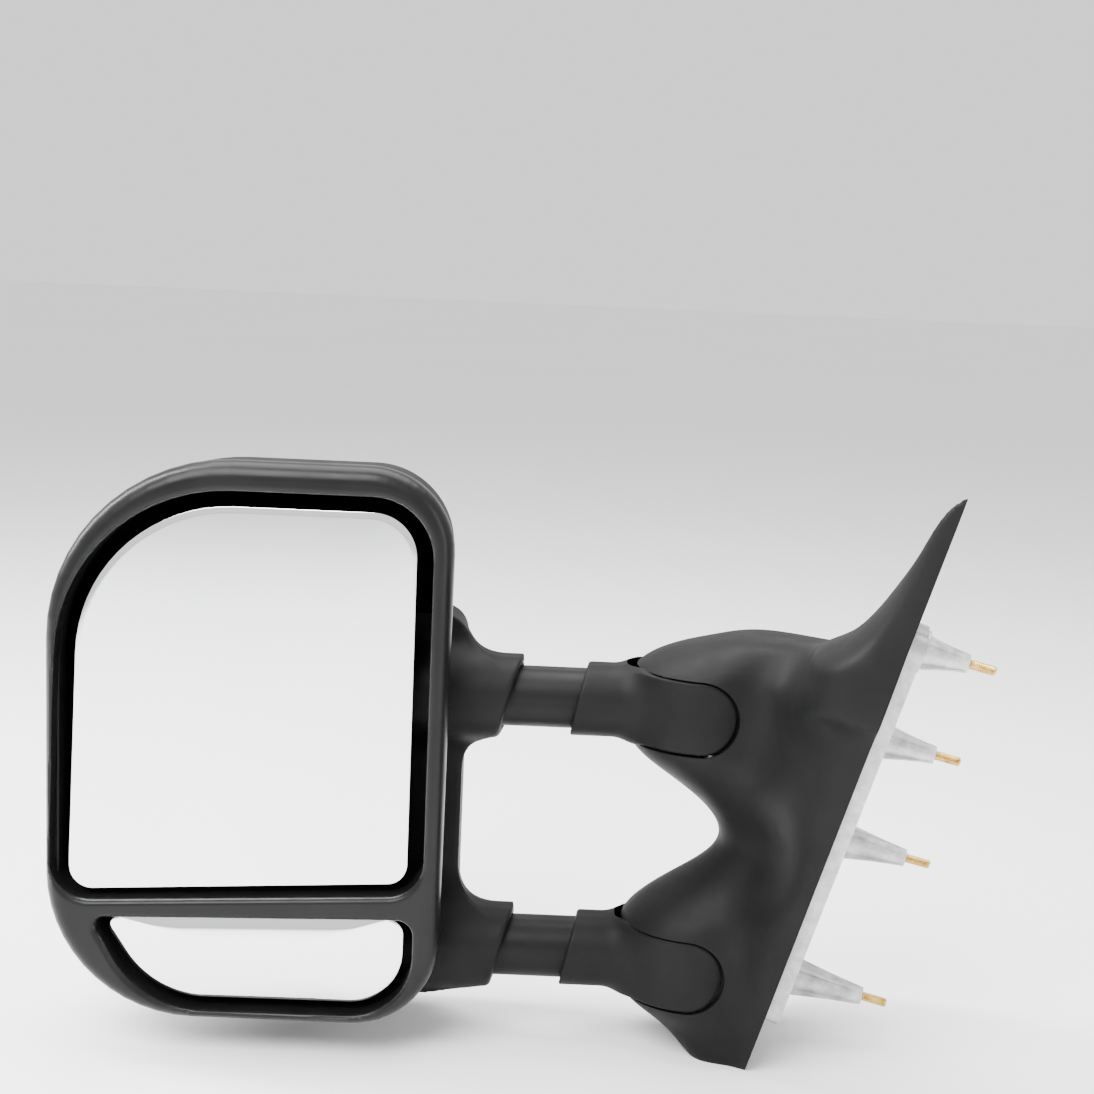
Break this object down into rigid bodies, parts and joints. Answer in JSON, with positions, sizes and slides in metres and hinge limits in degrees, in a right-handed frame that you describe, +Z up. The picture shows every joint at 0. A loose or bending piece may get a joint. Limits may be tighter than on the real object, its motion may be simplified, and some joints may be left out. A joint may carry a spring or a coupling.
{
  "type": "towing mirror",
  "caption": "Telescoping door-mounted towing mirror for a pickup truck: large main glass over a convex spotter, twin sliding arms, folding base with threaded studs.",
  "frame": {"origin": "on the bracket's seating face against the door, midway between the two arms", "axes": "+X inboard towards the vehicle, +Y forward, +Z up; the glass faces -Y"},
  "size_m": [0.5484, 0.2511, 0.374],
  "materials": {
    "bezel_plastic": "smooth satin charcoal",
    "black_plastic": "fine grained charcoal black",
    "cast_aluminium": "as cast",
    "coated_tube": "black powder coat",
    "inner_plastic": "black moulded",
    "mirror_glass": "silvered glass",
    "plated_steel": "zinc plated",
    "white_acetal": "natural acetal",
    "zinc_studs": "yellow zinc plated steel"
  },
  "bodies": {
    "base": {"mount_bracket": "cast_aluminium", "mount_studs": "zinc_studs", "base_cover": "black_plastic", "upper_pivot_pin": "plated_steel", "lower_pivot_pin": "plated_steel", "pivot_nuts": "plated_steel", "detent_washers": "plated_steel", "cover_screws": "plated_steel"},
    "arms": {"upper_arm_sleeve": "black_plastic", "lower_arm_sleeve": "black_plastic", "upper_pivot_hub": "cast_aluminium", "lower_pivot_hub": "cast_aluminium", "upper_fold_spring": "plated_steel", "lower_fold_spring": "plated_steel", "upper_slide_tube": "coated_tube", "lower_slide_tube": "coated_tube", "tube_cross_pins": "plated_steel", "tube_end_stops": "inner_plastic"},
    "head": {"head_shell": "black_plastic", "bezel": "bezel_plastic", "wing_cover": "black_plastic", "head_frame": "inner_plastic", "frame_screws": "plated_steel", "upper_slide_bushings": "white_acetal", "lower_slide_bushings": "white_acetal", "friction_clips": "plated_steel"},
    "main_swivel": {"main_swivel_ring": "white_acetal"},
    "main_mirror": {"main_glass": "mirror_glass", "main_glass_backing": "inner_plastic"},
    "spotter_swivel": {"spotter_swivel_ring": "white_acetal"},
    "spotter_mirror": {"spotter_glass": "mirror_glass", "spotter_glass_backing": "inner_plastic"}
  },
  "joints": [
    {"name": "fold", "type": "hinge", "parent": "base", "child": "arms", "pos_m": [-0.09, 0, 0], "axis": [0, 0, 1], "range_deg": [-45, 65]},
    {"name": "telescope", "type": "slide", "parent": "arms", "child": "head", "axis": [-1, 0, 0], "range_m": [0, 0.095]},
    {"name": "main_pan", "type": "hinge", "parent": "head", "child": "main_swivel", "pos_m": [-0.365, -0.036, 0.079], "axis": [0, 0, 1], "range_deg": [-6, 6]},
    {"name": "main_tilt", "type": "hinge", "parent": "main_swivel", "child": "main_mirror", "pos_m": [-0.365, -0.036, 0.079], "axis": [1, 0, 0], "range_deg": [-6, 6]},
    {"name": "spotter_pan", "type": "hinge", "parent": "head", "child": "spotter_swivel", "pos_m": [-0.357, -0.036, -0.077], "axis": [0, 0, 1], "range_deg": [-6, 6]},
    {"name": "spotter_tilt", "type": "hinge", "parent": "spotter_swivel", "child": "spotter_mirror", "pos_m": [-0.357, -0.036, -0.077], "axis": [1, 0, 0], "range_deg": [-6, 6]}
  ]
}
